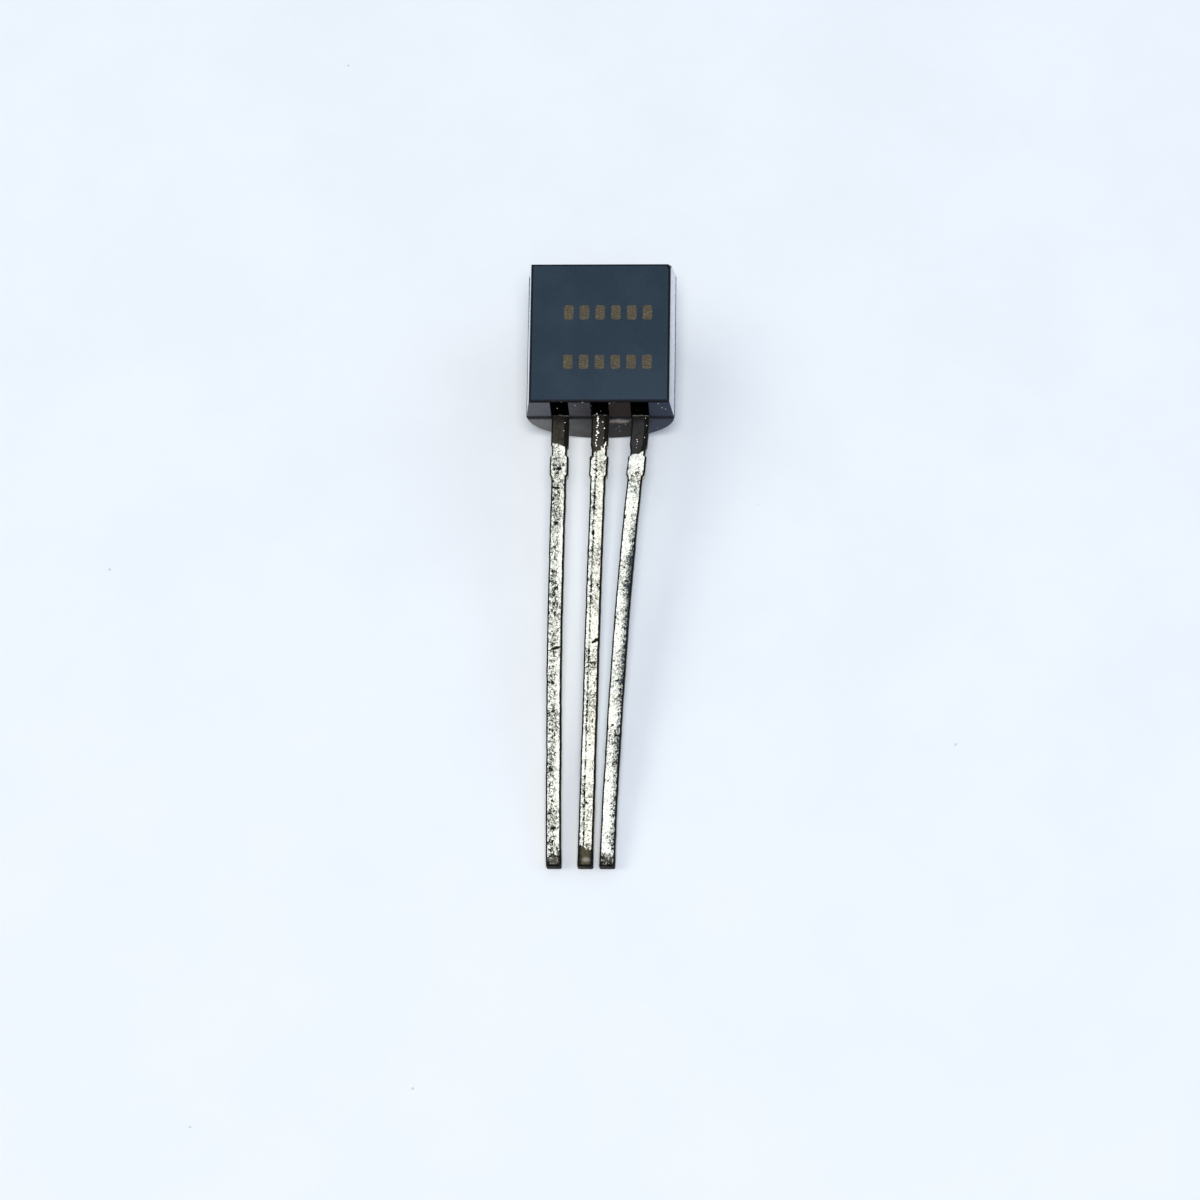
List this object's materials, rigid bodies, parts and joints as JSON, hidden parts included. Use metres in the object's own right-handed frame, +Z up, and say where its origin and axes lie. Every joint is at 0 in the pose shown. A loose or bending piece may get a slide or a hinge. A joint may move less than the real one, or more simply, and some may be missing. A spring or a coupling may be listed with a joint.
{
  "type": "to-92 transistor",
  "caption": "Through-hole transistor in a D-shaped moulded body with a flat face and a row of tinned leads, slightly bent; it switches or amplifies a small current.",
  "frame": {"origin": "on the surface that the part lies on, under the centre of its box", "axes": "+Y from the lead tips to the top of the body, +X from the collector lead to the emitter lead, +Z up, the way the flat face looks"},
  "size_m": [0.0048, 0.0196, 0.0042],
  "materials": {
    "moulding_compound": "satin, finely matt",
    "tinned_lead": "hot tinned, bright with dark pits",
    "die_attach_alloy": "dull",
    "silicon": "polished",
    "gold_wire": "bright"
  },
  "bodies": {
    "root": {"epoxy_body": "moulding_compound", "collector_lead": "tinned_lead", "base_lead": "tinned_lead", "emitter_lead": "tinned_lead", "die_attach": "die_attach_alloy", "silicon_die": "silicon", "base_bond_wire": "gold_wire", "emitter_bond_wire": "gold_wire"}
  },
  "joints": []
}
